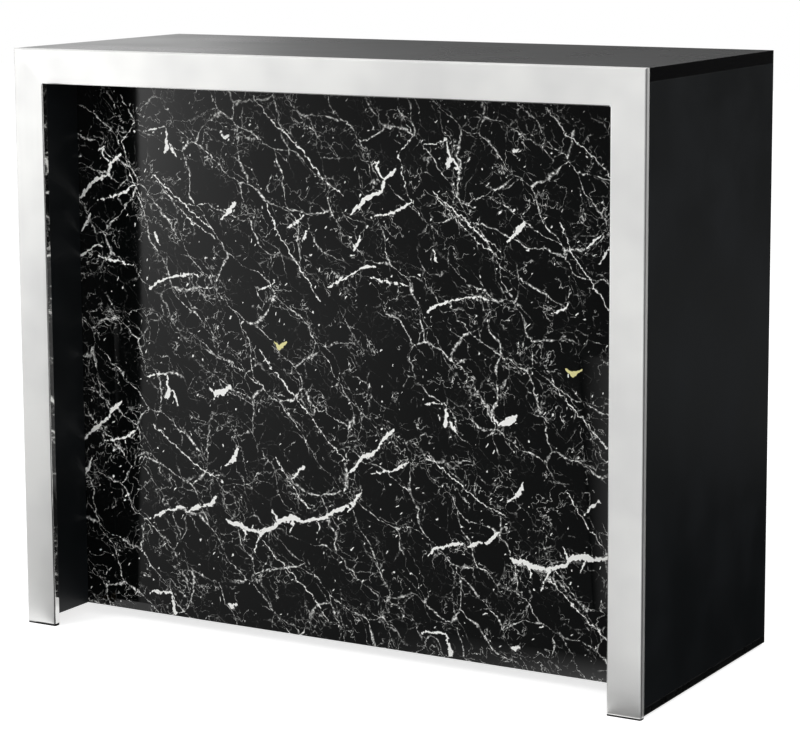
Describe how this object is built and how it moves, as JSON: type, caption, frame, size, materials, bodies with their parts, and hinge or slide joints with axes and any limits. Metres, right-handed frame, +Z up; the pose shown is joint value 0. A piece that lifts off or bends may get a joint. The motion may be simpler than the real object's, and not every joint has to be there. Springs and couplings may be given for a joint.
{
  "type": "bar cabinet",
  "caption": "Free-standing bar counter with a brushed steel portal frame, black marble-effect front panel, black side wings, and a drawer, shelves and a cupboard door behind.",
  "frame": {"origin": "on the floor under the middle of the overall box", "axes": "+Z up, -Y is the guest side with the marble-effect panel, +X is the right-hand side seen by a guest"},
  "size_m": [1.2, 0.5, 1.02],
  "materials": {
    "brushed_stainless": "fine satin brushing",
    "raw_timber": "sawn softwood",
    "black_rubber": "matt",
    "worktop_black": "satin black melamine on MDF",
    "black_melamine_board": "satin black melamine on MDF",
    "black_plastic": "moulded, matt",
    "marble_laminate_board": "high-gloss black marble-effect laminate on MDF",
    "birch_plywood": "clear lacquer",
    "stainless_pull": "pressed, satin",
    "zinc_plated_steel": "bright zinc",
    "screw_steel": "zinc"
  },
  "bodies": {
    "cabinet": {"frame_left_post": "brushed_stainless", "frame_right_post": "brushed_stainless", "frame_top_rail": "brushed_stainless", "left_post_core": "raw_timber", "right_post_core": "raw_timber", "top_rail_core": "raw_timber", "front_stiles": "raw_timber", "wing_battens": "raw_timber", "post_pads": "black_rubber", "worktop": "worktop_black", "left_side_panel": "black_melamine_board", "right_side_panel": "black_melamine_board", "left_inner_wall": "black_melamine_board", "right_inner_wall": "black_melamine_board", "rear_stiles": "black_melamine_board", "bottom_board": "black_melamine_board", "centre_partition": "black_melamine_board", "plinth_board": "black_melamine_board", "open_bay_shelf": "black_melamine_board", "cupboard_shelf": "black_melamine_board", "left_base_strip": "black_plastic", "right_base_strip": "black_plastic", "rear_feet": "black_plastic", "middle_foot": "black_plastic", "door_catch": "black_plastic", "front_panel": "marble_laminate_board", "shelf_pins": "zinc_plated_steel", "hinge_wall_leaves": "zinc_plated_steel", "hinge_pins": "zinc_plated_steel", "worktop_brackets": "zinc_plated_steel", "rail_brackets": "zinc_plated_steel", "runner_wall_members": "zinc_plated_steel", "cam_locks": "zinc_plated_steel", "cam_bolts": "zinc_plated_steel", "catch_magnet": "zinc_plated_steel", "bracket_screws": "screw_steel", "frame_screws": "screw_steel", "hinge_wall_screws": "screw_steel", "runner_wall_screws": "screw_steel", "catch_screws": "screw_steel"},
    "drawer": {"runner_drawer_members": "zinc_plated_steel", "drawer_front": "black_melamine_board", "drawer_sides": "birch_plywood", "drawer_box_front": "birch_plywood", "drawer_back": "birch_plywood", "drawer_bottom": "birch_plywood", "drawer_pull": "stainless_pull", "drawer_front_screws": "screw_steel", "runner_drawer_screws": "screw_steel"},
    "ball_cages": {"ball_cages": "zinc_plated_steel", "runner_balls": "zinc_plated_steel"},
    "door": {"door": "black_melamine_board", "door_pull": "stainless_pull", "hinge_door_leaves": "zinc_plated_steel", "hinge_door_screws": "screw_steel", "strike_plate": "zinc_plated_steel", "strike_screws": "screw_steel"}
  },
  "joints": [
    {"name": "drawer_slide", "type": "slide", "parent": "cabinet", "child": "drawer", "axis": [0, 1, 0], "range_m": [0, 0.26]},
    {"name": "cage_roll", "type": "slide", "parent": "cabinet", "child": "ball_cages", "axis": [0, 1, 0], "range_m": [0, 0.13]},
    {"name": "door_hinge", "type": "hinge", "parent": "cabinet", "child": "door", "pos_m": [0.5383, 0.2462, 0.5365], "axis": [0, 0, -1], "range_deg": [0, 170]}
  ],
  "couplings": [
    {"joint": "cage_roll", "follows": "drawer_slide", "ratio": 0.5}
  ]
}
